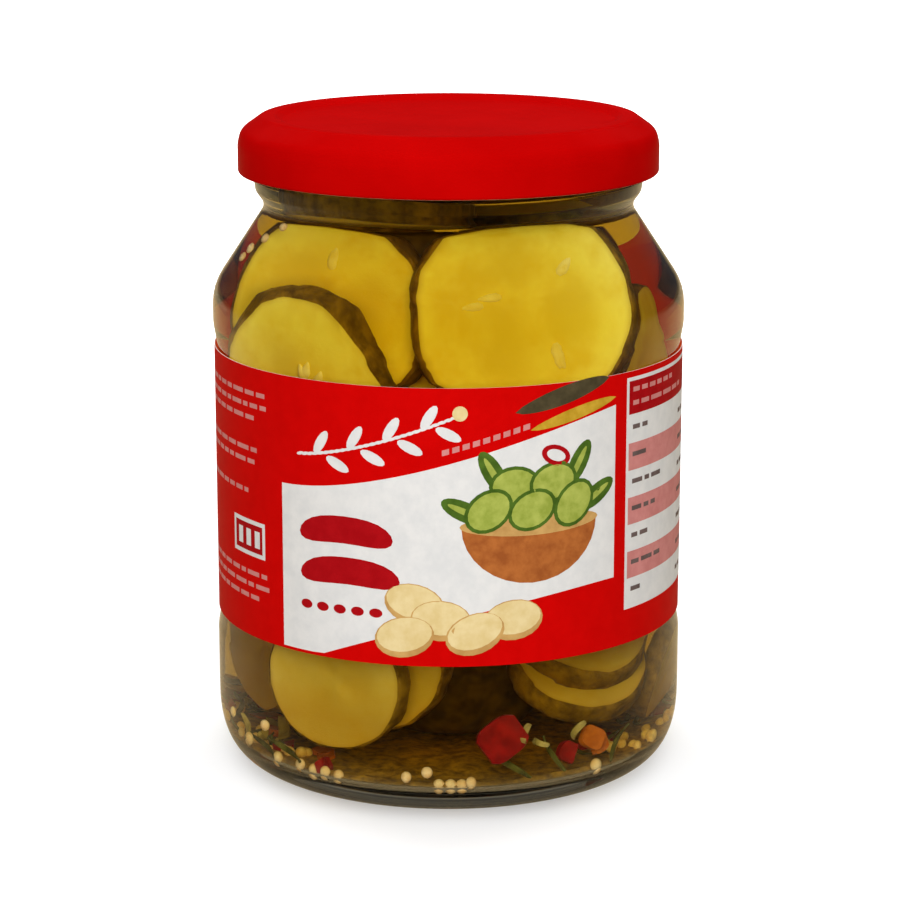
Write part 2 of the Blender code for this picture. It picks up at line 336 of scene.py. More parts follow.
def soda_lime_glass():
    """Moulded soda lime glass: clear, with the faint ripple that the mould leaves on its wall."""
    made, tree, output = material("Soda lime glass")
    place = add(tree, "TexCoord")
    ripple = add(
        tree,
        "TexNoise",
        {"Scale": 1 / MOULD_RIPPLE, "Detail": 1.5, "Roughness": 0.4},
        {"Vector": place.outputs["Object"]},
    )
    bump = add(tree, "Bump", {"Strength": 0.12, "Distance": 0.4 * MM}, {"Height": ripple.outputs["Fac"]})
    shader = add(
        tree,
        "BsdfPrincipled",
        {
            "Base Color": linear("FCFCFA"),
            "Roughness": 0.0,
            "IOR": 1.52,
            "Transmission Weight": 1.0,
            "Specular Tint": linear("484848"),
        },
        {"Normal": bump.outputs["Normal"]},
    )
    lets_shadows_through(tree, output, shader)
    depth = add(tree, "VolumeAbsorption", {"Color": (0.5, 0.46, 0.3, 1), "Density": 18.0})
    tree.links.new(depth.outputs["Volume"], output.inputs["Volume"])
    return made


def spiced_brine():
    """Vinegar brine stained by spices: it takes blue first and green next, so depth turns it brown."""
    made, tree, output = material("Spiced brine")
    shader = add(
        tree,
        "BsdfPrincipled",
        {
            "Base Color": linear("FFFFFF"),
            "Roughness": 0.0,
            "IOR": 1.34,
            "Transmission Weight": 1.0,
            "Specular Tint": linear("000000"),
        },
    )
    lets_shadows_through(tree, output, shader)
    depth = add(tree, "VolumeAbsorption", {"Color": (0.91, 0.82, 0.15, 1), "Density": 100.0})
    tree.links.new(depth.outputs["Volume"], output.inputs["Volume"])
    return made


def mottled(name, light, dark, patch, grain, relief, sockets):
    """Two shades of one colour in patches of one size, under a raised grain of another size."""
    made, tree, output = material(name)
    place = add(tree, "TexCoord")
    patches = add(
        tree,
        "TexNoise",
        {"Scale": 1 / patch, "Detail": 3.0, "Roughness": 0.6},
        {"Vector": place.outputs["Object"]},
    )
    spread = add(tree, "MapRange", {"From Min": 0.35, "From Max": 0.65}, {0: patches.outputs["Fac"]})
    colour = add(
        tree,
        "Mix",
        {"data_type": "RGBA", 6: linear(light), 7: linear(dark)},
        {0: spread.outputs[0]},
    )
    fine = add(tree, "TexNoise", {"Scale": 1 / grain, "Detail": 3.0}, {"Vector": place.outputs["Object"]})
    bump = add(tree, "Bump", {"Strength": 0.5, "Distance": relief}, {"Height": fine.outputs["Fac"]})
    shader = add(
        tree,
        "BsdfPrincipled",
        sockets,
        {"Base Color": colour.outputs[2], "Normal": bump.outputs["Normal"]},
    )
    tree.links.new(shader.outputs["BSDF"], output.inputs["Surface"])
    return made


def red_enamel():
    """Stoved enamel on tinplate: an even bright red with slow clouds and a very slight orange peel."""
    gloss = {"Roughness": 0.3, "IOR": 1.5, "Specular IOR Level": 0.001}
    return mottled("Red stoved enamel", "B20303", "AA0202", 16 * MM, 1.1 * MM, 0.01 * MM, gloss)


def can_lacquer():
    """Pale lacquer on the inside of the lid: milky, with the slight waves of a roller coating."""
    dull = {"Roughness": 0.4}
    return mottled("Roller coated lacquer", "D9D4C4", "CFC8B4", 6 * MM, 0.8 * MM, 0.01 * MM, dull)


def ink(name, light, dark):
    """Offset ink on coated paper: faint clouds where the ink took unevenly, and the paper's own tooth."""
    finish = {"Roughness": 0.5, "IOR": 1.45, "Specular IOR Level": 0.015}
    return mottled(name, light, dark, 2.5 * MM, 0.35 * MM, 0.01 * MM, finish)


def gherkin_flesh():
    """Cut gherkin: wet yellow flesh, a darker seed zone in three lobes, and painted shade that makes it
    browner low in the jar.
    """
    made, tree, output = material("Cut gherkin flesh")
    place = add(tree, "TexCoord")
    cut = add(tree, "UVMap", {"uv_map": "cut face"})
    centred = add(
        tree,
        "Mapping",
        {"Location": (-1, -1, 0), "Scale": (2, 2, 1)},
        {"Vector": cut.outputs["UV"]},
    )
    patches = add(
        tree,
        "TexNoise",
        {"Scale": 1 / FLESH_BLOTCH, "Detail": 3.0, "Roughness": 0.6},
        {"Vector": place.outputs["Object"]},
    )
    # The blotches shift the edges of the seed zone, so that no two slices match
    swirl = add(tree, "VectorMath", {"operation": "SCALE", "Scale": 0.3}, {0: patches.outputs["Color"]})
    shifted = add(
        tree,
        "VectorMath",
        {"operation": "ADD"},
        {0: centred.outputs["Vector"], 1: swirl.outputs[0]},
    )
    settled = add(
        tree,
        "VectorMath",
        {"operation": "SUBTRACT", 1: (0.15, 0.15, 0.15)},
        {0: shifted.outputs[0]},
    )
    radius = add(tree, "VectorMath", {"operation": "LENGTH"}, {0: settled.outputs["Vector"]})
    true_radius = add(tree, "VectorMath", {"operation": "LENGTH"}, {0: centred.outputs["Vector"]})
    parts = add(tree, "SeparateXYZ", links={0: settled.outputs["Vector"]})
    angle = add(tree, "Math", {"operation": "ARCTAN2"}, {0: parts.outputs["Y"], 1: parts.outputs["X"]})
    thrice = add(tree, "Math", {"operation": "MULTIPLY", 1: 3.0}, {0: angle.outputs[0]})
    wave = add(tree, "Math", {"operation": "COSINE"}, {0: thrice.outputs[0]})
    lobes = add(
        tree,
        "MapRange",
        {"From Min": -0.6, "From Max": 0.9, "To Min": 0.15, "To Max": 1.0},
        {0: wave.outputs[0]},
    )
    inside = add(
        tree,
        "MapRange",
        {"interpolation_type": "SMOOTHSTEP", "From Min": 0.7, "From Max": 0.45},
        {0: radius.outputs["Value"]},
    )
    outside = add(
        tree,
        "MapRange",
        {"interpolation_type": "SMOOTHSTEP", "From Min": 0.06, "From Max": 0.3},
        {0: radius.outputs["Value"]},
    )
    ring = add(tree, "Math", {"operation": "MULTIPLY"}, {0: inside.outputs[0], 1: outside.outputs[0]})
    seeded = add(tree, "Math", {"operation": "MULTIPLY"}, {0: ring.outputs[0], 1: lobes.outputs[0]})
    fine = add(
        tree,
        "TexNoise",
        {"Scale": 1 / FLESH_PORE, "Detail": 3.0, "Roughness": 0.6},
        {"Vector": place.outputs["Object"]},
    )
    cloudy = add(tree, "MapRange", {"From Min": 0.38, "From Max": 0.66}, {0: patches.outputs["Fac"]})
    flesh = add(
        tree,
        "Mix",
        {"data_type": "RGBA", 6: linear("FBEC6E"), 7: linear("F0D850")},
        {0: cloudy.outputs[0]},
    )
    zone = add(
        tree,
        "Mix",
        {"data_type": "RGBA", 7: linear("EDD856")},
        {0: seeded.outputs[0], 6: flesh.outputs[2]},
    )
    rind = add(
        tree,
        "MapRange",
        {"interpolation_type": "SMOOTHSTEP", "From Min": 0.88, "From Max": 1.0},
        {0: true_radius.outputs["Value"]},
    )
    edged = add(
        tree,
        "Mix",
        {"data_type": "RGBA", 7: linear("C4A636")},
        {0: rind.outputs[0], 6: zone.outputs[2]},
    )
    # Painted shade: the flesh is painted darker and browner towards the bottom of the jar
    where = add(tree, "SeparateXYZ", links={0: place.outputs["Object"]})
    depth = add(
        tree,
        "MapRange",
        {"From Min": STAIN_FULL, "From Max": STAIN_GONE, "To Min": 0.8, "To Max": 0.0},
        {0: where.outputs["Z"]},
    )
    stained = add(
        tree,
        "Mix",
        {"data_type": "RGBA", 7: linear("B08020")},
        {0: depth.outputs[0], 6: edged.outputs[2]},
    )
    bump = add(tree, "Bump", {"Strength": 0.35, "Distance": 0.12 * MM}, {"Height": fine.outputs["Fac"]})
    shader = add(
        tree,
        "BsdfPrincipled",
        {
            "Roughness": 0.4,
            "IOR": 1.4,
            "Specular IOR Level": 0.1,
            "Subsurface Weight": 0.15,
            "Subsurface Radius": (1.0, 0.8, 0.2),
            "Subsurface Scale": 2.0 * MM,
        },
        {"Base Color": stained.outputs[2], "Normal": bump.outputs["Normal"]},
    )
    tree.links.new(shader.outputs["BSDF"], output.inputs["Surface"])
    return made


def gherkin_skin():
    """Pickled skin: olive brown and mottled, pitted between its warts."""
    wet = {"Roughness": 0.4, "IOR": 1.4, "Specular IOR Level": 0.15}
    return mottled("Pickled gherkin skin", "8E6A16", "583E08", 2.4 * MM, 1.2 * MM, 0.3 * MM, wet)


def make_glass():
    """The jar itself: one turned wall, set back where the label goes, on a ring round its push-up."""
    band = BODY_RADIUS - LABEL_SET_BACK
    ring_inner = STANDING_RADIUS - STANDING_WIDTH
    inside = inner_outline()
    outline = inside[:-1] + rounded(
        [
            (*inside[-1], 0),
            (NECK_RADIUS - WALL, RIM_HEIGHT, RIM_ARC),
            (FINISH_RADIUS, RIM_HEIGHT, RIM_ARC),
            (FINISH_RADIUS, BEAD_HEIGHT + 2.2 * MM, 0),
            (BEAD_RADIUS, BEAD_HEIGHT + 1.2 * MM, BEAD_ARC),
            (BEAD_RADIUS - 0.3 * MM, BEAD_HEIGHT - 1.0 * MM, BEAD_ARC),
            (NECK_RADIUS, NECK_HEIGHT, NECK_ARC),
            (BODY_RADIUS, SHOULDER_HEIGHT, SHOULDER_ARC),
            (BODY_RADIUS, LABEL_HIGH + 4 * SET_BACK_STEP, SET_BACK_ARC),
            (band, LABEL_HIGH + 0.5 * SET_BACK_STEP, SET_BACK_ARC),
            (band, LABEL_LOW - 0.5 * SET_BACK_STEP, SET_BACK_ARC),
            (BODY_RADIUS, LABEL_LOW - 4 * SET_BACK_STEP, SET_BACK_ARC),
        ]
        + heel(BODY_RADIUS, STANDING_RADIUS, 0, HEEL_HEIGHT)
        + [(ring_inner, 0, 0.5 * MM), (ring_inner - PUSH_UP, PUSH_UP * 0.8, 1 * MM), (0, PUSH_UP, 0)]
    )
    glass = piece("jar_glass", turned(outline), [soda_lime_glass()])
    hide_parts("jar")


def make_brine():
    """The brine: the inside of the glass up to its level, with a surface that dips a little."""
    outline = [p for p in inner_outline(BRINE_INTO_GLASS) if p.y < BRINE_LEVEL]
    outline += [Vector((outline[-1].x, BRINE_LEVEL)), Vector((0, BRINE_LEVEL - BRINE_DIP))]
    piece("brine", turned(outline), [spiced_brine()])


def make_lid():
    """The lid: a recessed panel in a raised crest, a rounded shoulder and a skirt with a rolled edge."""
    panel = TOTAL_HEIGHT - LID_PANEL_DROP
    corner = TOTAL_HEIGHT - LID_SHOULDER_DROP
    roof = RIM_HEIGHT + LID_GAP
    outline = rounded(
        [
            (0, panel, 0),
            (LID_PANEL_RADIUS, panel, LID_PANEL_ARC),
            (LID_PANEL_RADIUS + 2 * LID_PANEL_DROP, TOTAL_HEIGHT, LID_PANEL_ARC),
            (LID_CREST_RADIUS, TOTAL_HEIGHT, LID_CREST_ARC),
            (LID_RADIUS - 0.5 * MM, corner + 0.9 * MM, LID_SHOULDER_ARC),
            (LID_RADIUS, corner - 1.2 * MM, LID_SHOULDER_ARC),
            (LID_RADIUS, LID_LOW, LID_ROLL * 0.6),
            (LID_RADIUS - LID_ROLL, LID_LOW, LID_ROLL * 0.5),
            (LID_RADIUS - LID_ROLL, LID_LOW + 2 * LID_ROLL, 0),
            (LID_RADIUS - LID_SHEET, LID_LOW + 2.6 * LID_ROLL, 0),
            (LID_RADIUS - LID_SHEET, corner - LID_SHEET, LID_SHOULDER_ARC - LID_SHEET),
            (LID_CREST_RADIUS, roof, 0),
            (0, roof, 0),
        ]
    )
    bm = turned(outline)
    for face in bm.faces:
        middle = face.calc_center_median()
        within = middle.xy.length < LID_RADIUS - 0.8 * LID_SHEET
        lining = within and LID_LOW + 0.2 * MM < middle.z < corner + 0.5 * MM
        face.material_index = 1 if lining or face.normal.z < -0.9 else 0
    lid = piece("lid_shell", bm, [red_enamel(), can_lacquer()])
    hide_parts("lid")


def make_label():
    """The paper wrap: red in front, its back where the red shows through, and its two cut edges."""
    outer = LABEL_RADIUS - PAPER_OUTER
    inner = LABEL_RADIUS - PAPER_UNDER
    outline = ((outer, LABEL_HIGH), (outer, LABEL_LOW), (inner, LABEL_LOW), (inner, LABEL_HIGH))
    bm = turned(outline, closed=True, steps=LABEL_STEPS)
    for face in bm.faces:
        out = face.normal.xy.dot(face.calc_center_median().xy.normalized())
        face.material_index = 0 if out > 0.5 else 1 if out < -0.5 else 2
    # Light comes through the thin wrap, so that its back glows a little where the brine shows it
    lit_through = {"Roughness": 0.6, "Emission Color": linear("CC4414"), "Emission Strength": 0.6}
    finishes = [
        ink("Red ink on label paper", "BE0404", "B80303"),
        mottled("Back of the label", "A81A0E", "98140A", 5 * MM, 0.4 * MM, 0.01 * MM, lit_through),
        mottled("Cut paper edge", "F2E6E2", "E8D6D0", 1 * MM, 0.2 * MM, 0.02 * MM, {"Roughness": 0.8}),
    ]
    label = piece("label_paper", bm, finishes)
    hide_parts("label")


def bar(left, right, low, high):
    """A plain rectangle of the print."""
    return [(left, low), (right, low), (right, high), (left, high)]


def oval(s, z, width, height, turn=0, points=20):
    """An oval of the print, turned by an angle in degrees."""
    lean = math.radians(turn)
    ring = []
    for i in range(points):
        angle = 2 * math.pi * i / points
        x, y = width / 2 * math.cos(angle), height / 2 * math.sin(angle)
        across = x * math.cos(lean) - y * math.sin(lean)
        up = x * math.sin(lean) + y * math.cos(lean)
        ring.append((s + across, z + up))
    return ring


def bent_capsule(s, z, length, width, bend, points=12):
    """A gherkin's outline: long, blunt at its ends and bent upward in the middle."""
    upper, lower = [], []
    for i in range(points + 1):
        x = -math.cos(math.pi * i / points)
        middle = z + bend * (1 - x * x)
        half = width / 2 * max(0.0, 1 - x**4) ** 0.5
        upper.append((s + x * length / 2, middle + half))
        lower.append((s + x * length / 2, middle - half))
    return upper + lower[-2:0:-1]


def panel_top(s):
    """The height of the white panel's top edge, which rises to the right in a soft curve."""
    t = (s - PANEL_LEFT) / (PANEL_RIGHT - PANEL_LEFT)
    return 53.2 + 12.6 * (t * t * (3 - 2 * t) + t**1.5) / 2


def panel_bottom(s):
    """The height of the white panel's bottom edge, which falls to the left to the paper's edge."""
    return max(26.4, 37.6 - 11.4 * ((PANEL_RIGHT - s) / 50.5) ** 1.8)


def band(left, right, below, above, points=14):
    """A curved band of the print between two heights above the panel's top edge."""
    spots = [left + (right - left) * i / points for i in range(points + 1)]
    swing = [math.sin(math.pi * i / points) ** 0.6 if 0 < i < points else 0.0 for i in range(points + 1)]
    middle = [panel_top(s) + (below + above) / 2 for s in spots]
    half = (above - below) / 2
    low = [(s, m - half * w) for s, m, w in zip(spots, middle, swing)]
    high = [(s, m + half * w) for s, m, w in zip(spots, middle, swing)]
    return low + high[-2:0:-1]


def small_print(draw, left, right, height, tall=0.75):
    """One line of plain dashes of mixed lengths, in place of small print."""
    dashes = []
    while left < right - 1:
        width = min(draw.uniform(1.2, 3.8), right - left)
        dashes.append(bar(left, left + width, height - tall / 2, height + tall / 2))
        left += width + 0.7
    return dashes


def label_design():
    """The print as (ink, layer, outline) with outlines in mm round the jar and up it."""
    red, white, grey, pink, gold, dark, pale, rim, tan, green, light_green = range(11)
    draw = random.Random(SPICE_SEED)
    width = PANEL_RIGHT - PANEL_LEFT
    spots = [PANEL_LEFT + width * i / PANEL_POINTS for i in range(PANEL_POINTS + 1)]
    panel = [(s, panel_bottom(s)) for s in spots] + [(s, panel_top(s)) for s in reversed(spots)]
    design = [
        (white, 1, panel),
        (dark, 2, band(10.5, 27.5, 3.4, 6.4)),
        (gold, 2, band(13.0, 29.0, 0.3, 2.3)),
        (red, 2, bent_capsule(-17.0, 46.0, 16.5, 4.4, 1.2)),
        (red, 2, bent_capsule(-16.4, 39.4, 17.5, 4.4, 1.2)),
    ]
    for i in range(5):
        design.append((red, 2, oval(-24.0 + 3.1 * i, 34.2, 2.2, 1.5)))
    # A bowl of gherkins with leaves and a ring of pepper
    turns = [-math.pi * i / 16 for i in range(17)]
    bowl = [(13.5 + 11.5 * math.cos(turn), 48.5 + 9.5 * math.sin(turn)) for turn in turns]
    design.append((tan, 2, bowl))
    design.append((rim, 3, oval(13.5, 48.5, 23.6, 3.6, points=28)))
    for s, z, turn in ((2.5, 51.0, 155), (25.0, 52.0, 30), (7.0, 57.0, 120), (21.5, 57.5, 60)):
        design.append((green, 2, oval(s, z, 8.0, 3.2, turn)))
        design.append((light_green, 3, oval(s, z, 5.8, 1.0, turn)))
    # Slices in it, each over the last
    for i, (s, z) in enumerate(((10.5, 54.8), (17.0, 55.0), (13.4, 50.8), (6.3, 51.0), (20.7, 51.2))):
        design.append((green, 4 + 2 * i, oval(s, z, 8.4, 6.4, 12 * i)))
        design.append((light_green, 5 + 2 * i, oval(s, z, 7.2, 5.3, 12 * i)))
    design.append((red, 6, oval(17.4, 59.2, 5.2, 3.2, -20)))
    design.append((white, 7, oval(17.4, 59.2, 3.4, 1.8, -20)))
    # A row of pale slices below it, each over the last
    for i, (s, z) in enumerate(((-5.4, 36.4), (-1.2, 33.8), (10.4, 33.6), (-7.0, 31.0), (4.2, 31.6))):
        design.append((rim, 2 + 2 * i, oval(s, z - 0.4, 9.7, 6.6, 8 * i - 12)))
        design.append((pale, 3 + 2 * i, oval(s, z, 9.0, 5.5, 8 * i - 12)))
    # A white sprig on the red above the panel, and a curved row of dashes beside it
    for i in range(27):
        s = -25.0 + i
        stem = 58.6 + 7.4 * (i / 26) ** 1.4
        design.append((white, 1 + i % 2, oval(s, stem, 1.5, 0.55, 14, points=8)))
        if 2 < i < 25 and i % 3 == 0:
            side = 1 if i % 2 else -1
            leaf = oval(s + 1.0, stem + side * 1.9, 4.4, 1.7, 16 + side * 42, points=14)
            design.append((white, 3, leaf))
    design.append((pale, 4, oval(1.8, 66.6, 2.4, 2.4)))
    for i in range(9):
        s = -1.0 + 1.6 * i
        corners = ((s, 1.6), (s + 1.1, 1.6), (s + 1.1, 2.5), (s, 2.5))
        design.append((pink, 1, [(x, panel_top(x) + up) for x, up in corners]))
    # Small print and a frame at the left
    blocks = ((66.4, (-33, -31, -36)), (57.2, (-34, -36)), (50.2, (-38,)), (36.6, (-33, -31, -35)))
    for top, ends in blocks:
        for i, end in enumerate(ends):
            for dash in small_print(draw, -56.0, end, top - 2.0 * i):
                design.append((pink, 1, dash))
    design += [(white, 1, bar(-43.2, -33.4, 39.4, 45.4)), (red, 2, bar(-42.5, -34.1, 40.1, 44.7))]
    design += [(white, 3, bar(-41.4 + 2.6 * i, -40.0 + 2.6 * i, 41.0, 43.8)) for i in range(3)]
    # A table at the right, and a block of small print round the back
    for left, right in ((31.6, 58.0), (88.0, 116.0)):
        design.append((white, 1, bar(left, right, 31.6, 69.6)))
        design.append((red, 2, bar(left + 0.6, right - 0.6, 63.6, 69.0)))
        for i in range(7):
            low = 32.2 + 4.45 * i
            if i % 2:
                design.append((pink, 2, bar(left + 0.6, right - 0.6, low, low + 4.45)))
            for dash in small_print(draw, left + 1.6, left + draw.uniform(5, 12), low + 2.6):
                design.append((grey, 3, dash))
            for dash in small_print(draw, right - 7, right - 1.6, low + 1.8):
                design.append((grey, 3, dash))
        for i in range(2):
            for dash in small_print(draw, left + 1.6, right - draw.uniform(6, 12), 67.6 - 2.2 * i):
                design.append((pink, 3, dash))
    for i in range(14):
        for dash in small_print(draw, -112.0, -draw.uniform(72, 78), 66.0 - 2.4 * i):
            design.append((pink, 1, dash))
    return design


def printed(outline, layer):
    """A flat shape of the print as a thin solid that follows the paper, folded where the paper is."""
    bm = bmesh.new()
    bm.faces.new([bm.verts.new((s * MM, 0, z * MM)) for s, z in outline])
    fold = 2 * math.pi * LABEL_RADIUS / LABEL_STEPS
    sides = [s * MM for s, z in outline]
    for i in range(math.ceil(min(sides) / fold), math.floor(max(sides) / fold) + 1):
        bmesh.ops.bisect_plane(
            bm,
            geom=bm.verts[:] + bm.edges[:] + bm.faces[:],
            dist=0.001 * MM,
            plane_co=(i * fold, 0, 0),
            plane_no=(1, 0, 0),
        )
    raised = bmesh.ops.extrude_face_region(bm, geom=bm.faces[:])["geom"]
    top = {v for v in raised if isinstance(v, bmesh.types.BMVert)}
    for v in bm.verts:
        angle = v.co.x / LABEL_RADIUS
        radius = LABEL_RADIUS - PAPER_OUTER + (layer * INK_LAYER if v in top else -2 * INK_LAYER)
        v.co = (radius * math.sin(angle), -radius * math.cos(angle), v.co.z)
    bmesh.ops.recalc_face_normals(bm, faces=bm.faces)
    return bm


def join(joined, bm, index=0):
    """Adds one body to a piece, in one of the piece's materials."""
    for face in bm.faces:
        face.material_index += index
    mesh = bpy.data.meshes.new("body")
    bm.to_mesh(mesh)
    bm.free()
    joined.from_mesh(mesh)
    bpy.data.meshes.remove(mesh)


def make_print():
    """The print as one piece of thin ink layers, and the red overlap of the wrap at the back."""
    inks = [
        ink("Dark red ink", "A00E16", "960A12"),
        ink("White ink", "D3D6DB", "CACED4"),
        ink("Grey ink", "6A5C5C", "5A4E4E"),
        ink("Pink tint", "C48484", "BA7878"),
        ink("Gold ink", "BE9C34", "A68420"),
        ink("Dark olive ink", "4E4632", "3E3828"),
        ink("Pale cream ink", "D6C698", "CCB884"),
        ink("Biscuit ink", "BE9A60", "AC8650"),
        ink("Tan ink", "A86432", "8E4E26"),
        ink("Leaf green ink", "4C6A26", "3A541C"),
        ink("Light green ink", "A2AE56", "86963E"),
    ]
    joined = bmesh.new()
    for colour, layer, outline in label_design():
        join(joined, printed(outline, min(layer, INK_LAYERS)), colour)
    seam = bar(*SEAM, LABEL_LOW / MM + SEAM_MARGIN, LABEL_HIGH / MM - SEAM_MARGIN)
    join(joined, printed(seam, 3), len(inks))
    inks.append(ink("Red overlap of the wrap", "BC0404", "B60303"))
    piece("label_print", joined, inks)


def slice_places():
    """Bearing from the front, height, radius, lean, roll, depth behind the glass and yaw of each."""
    front = [
        (32, 78.4, 16.6, 13, 4, 0.0, -29),
        (-57, 77.0, 15.0, 7, -6, 3.2, 33),
        (-52, 65.4, 15.6, -11, 5, 0.0, 20),
        (0, 66.5, 7.5, -6, 0, 20.5, 0),
        (84, 66.0, 10.0, 0, 0, 8.6, 0),
        (-33, 20.4, 11.8, -4, 4, 0.2, 4),
        (-27, 23.5, 12.2, -5, 0, 6.0, 4),
        (-74, 20.0, 10.5, -2, 10, 6.5, 0),
        (50, 19.6, 11.0, 50, -14, 2.0, -12),
        (53, 25.8, 12.0, 51, -14, 2.0, -10),
        (84, 15.4, 8.8, -30, 0, 0.0, 0),
    ]
    places = []
    for bearing, height, radius, lean, roll, depth, yaw in front:
        places.append((bearing, height * MM, radius * MM, lean, roll, depth * MM, yaw))
    draw = random.Random(SPICE_SEED)
    tiers = (
        (75.0, 9, 13.0, (180,), (136, 226)),
        (48.6, 0, 8.6, (22, 112, 202), (157, 247)),
        (22.2, -3, 8.6, (124, 190, 250), (157, 220)),
    )
    for height, lean, far_depth, near, far in tiers:
        for i, bearing in enumerate(near + far):
            behind = i >= len(near)
            radius = draw.uniform(9.4, 10.4) if behind else draw.uniform(12.6, 13.6)
            up = height * MM + draw.uniform(-0.8, 1.6) * MM
            tilt, roll = lean + draw.uniform(-5, 5), draw.uniform(-9, 9)
            places.append((bearing, up, radius * MM, tilt, roll, behind * far_depth * MM, 0))
    # Smaller slices against the core, and some that lie flat under the lid and show their skin
    for height, bearings in ((24.0, (150, 210, 270)), (49.0, (30, 90, 150, 210, 270))):
        for bearing in bearings:
            radius = draw.uniform(8.5, 9.8) * MM
            places.append((bearing, height * MM, radius, draw.uniform(-8, 8), 0, INNER_DEPTH, 0))
    flat = ((112, 89.8, 11.4, 2.6), (248, 90.2, 11.4, 2.6), (310, 96.0, 13.4, 0), (130, 96.2, 13.4, 0))
    for bearing, height, radius, depth in flat:
        places.append((bearing, height * MM, radius * MM, FLAT_LEAN, 0, depth * MM, 180 - bearing))
    return places


def slice_outline(radius):
    """Half the section of a slice: its front face, rounded edge, skin and back face."""
    half = SLICE_THICKNESS / 2
    face = [radius * f for f in (0, 0.13, 0.26, 0.39, 0.5, 0.61, 0.72, 0.82, 0.9, 0.955)]
    front = [(r, half) for r in face]
    rim = [(radius * 0.985, half * 0.86), (radius, half * 0.5), (radius * 1.004, 0)]
    return front + rim + [(r, -z) for r, z in reversed(front + rim[:-1])]


def cut_slice(radius, phase):
    """One slice: cut faces that sink in a seed zone of three lobes, a warty skin and a slight bend."""
    bm = turned(slice_outline(radius), steps=SLICE_STEPS)
    uv = bm.loops.layers.uv.new("cut face")
    for face in bm.faces:
        out = face.calc_center_median().xy.length
        face.material_index = 1 if out > SKIN_STARTS * radius else 0
        for loop in face.loops:
            x, y = loop.vert.co.xy / radius
            loop[uv].uv = (0.5 + x / 2, 0.5 + y / 2)
    for v in bm.verts:
        angle = math.atan2(v.co.y, v.co.x)
        share = v.co.xy.length / radius
        spot = v.co * RIPPLES_PER_METRE + Vector((4 * phase, 0, 0))
        swell = 1 + LOBE_SWELL * math.sin(3 * angle + phase) + OVAL_SWELL * math.sin(2 * angle + 2 * phase)
        if share > 0.9:
            swell += LUMP * noise.noise(spot * LUMPS_PER_RIPPLE) - 0.15 * LUMP
        if share > 0.98:
            swell += WART * noise.noise(spot * WARTS_PER_RIPPLE)
        side = math.copysign(1, v.co.z) if abs(v.co.z) > 0.42 * SLICE_THICKNESS else 0
        zone = max(0.0, min(1.0, (SEED_ZONE - share) / 0.3))
        sink = SEED_ZONE_SINK * zone * (0.6 + 0.4 * math.cos(3 * angle))
        v.co.z += side * (FACE_RIPPLE * noise.noise(spot) - sink)
        bend = (v.co.x * math.cos(phase) + v.co.y * math.sin(phase)) / radius
        v.co.z += SLICE_BEND * (bend * bend - 0.5)
        v.co.x *= swell
        v.co.y *= swell
    return bm


def slice_frame(bearing, height, distance, lean, roll, yaw):
    """The matrix that stands a slice up, facing out at this bearing and leaning in at the top."""
    stand = Matrix.Rotation(math.radians(90), 4, "X")
    tilt = Matrix.Rotation(math.radians(-lean), 4, "X") @ Matrix.Rotation(math.radians(roll), 4, "Y")
    aim = Matrix.Rotation(math.radians(yaw), 4, "Z")
    turn = Matrix.Rotation(math.radians(bearing), 4, "Z")
    return turn @ Matrix.Translation((0, -distance, height)) @ aim @ tilt @ stand


def fits(edge, place):
    """Whether the points of a slice's edge are clear of the glass and of the floor."""
    for co in edge:
        point = place @ co
        if point.z < HEAP_FLOOR or math.hypot(point.x, point.y) > inner_radius(point.z) - SLICE_TO_GLASS:
            return False
    return True


def make_seeds(seeds, radius, place, draw):
    """Flat pale seeds that lie in the three lobes of one slice's outer face, pointing outward."""
    for lobe in range(3):
        for i in range(draw.choice((2, 3, 3))):
            angle = 2 * math.pi * (lobe + 0.5) / 3 + draw.uniform(-0.42, 0.42)
            reach = radius * draw.uniform(0.3, 0.5)
            bm = bmesh.new()
            bmesh.ops.create_icosphere(bm, subdivisions=2, radius=1)
            for v in bm.verts:
                taper = 1 - 0.45 * v.co.x
                v.co *= Vector((SEED_LENGTH, SEED_WIDTH * taper, SEED_THICKNESS)) / 2
            turn = Matrix.Rotation(angle, 4, "Z")
            lift = Matrix.Translation((reach, 0, SLICE_THICKNESS / 2 - SEED_SINK))
            spin = Matrix.Rotation(draw.uniform(-0.4, 0.4), 4, "Z")
            bm.transform(place @ turn @ lift @ spin)
            join(seeds, bm)


def make_slices():
    """Every slice, moved in from the glass until it is clear of it, and the seeds of those in front."""
    joined = bmesh.new()
    joined.loops.layers.uv.new("cut face")
    seeds = bmesh.new()
    draw = random.Random(SPICE_SEED)
    for i, (bearing, height, radius, lean, roll, depth, yaw) in enumerate(slice_places()):
        bm = cut_slice(radius, 1.3 * i)
        edge = [v.co.copy() for v in bm.verts if v.co.xy.length > 0.93 * radius]
        distance = BODY_RADIUS - WALL
        while not fits(edge, slice_frame(bearing, height, distance, lean, roll, yaw)) and distance > 0:
            distance -= SETTLE_STEP
        place = slice_frame(bearing, height, distance - depth, lean, roll, yaw)
        bm.transform(place)
        join(joined, bm)
        if depth < SEEDS_BEFORE and height > SEEDS_ABOVE:
            make_seeds(seeds, radius, place, draw)
    slices = piece("gherkin_slices", joined, [gherkin_flesh(), gherkin_skin()])
    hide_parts("gherkins")
    # Seeds stand out of the flesh as slightly paler, glassy ovals
    wet = {"Roughness": 0.35, "IOR": 1.4, "Specular IOR Level": 0.15}
    finish = mottled("Gherkin seed", "FFF4BC", "F6E48C", 2 * MM, 0.5 * MM, 0.03 * MM, wet)
    piece("gherkin_seeds", seeds, [finish])


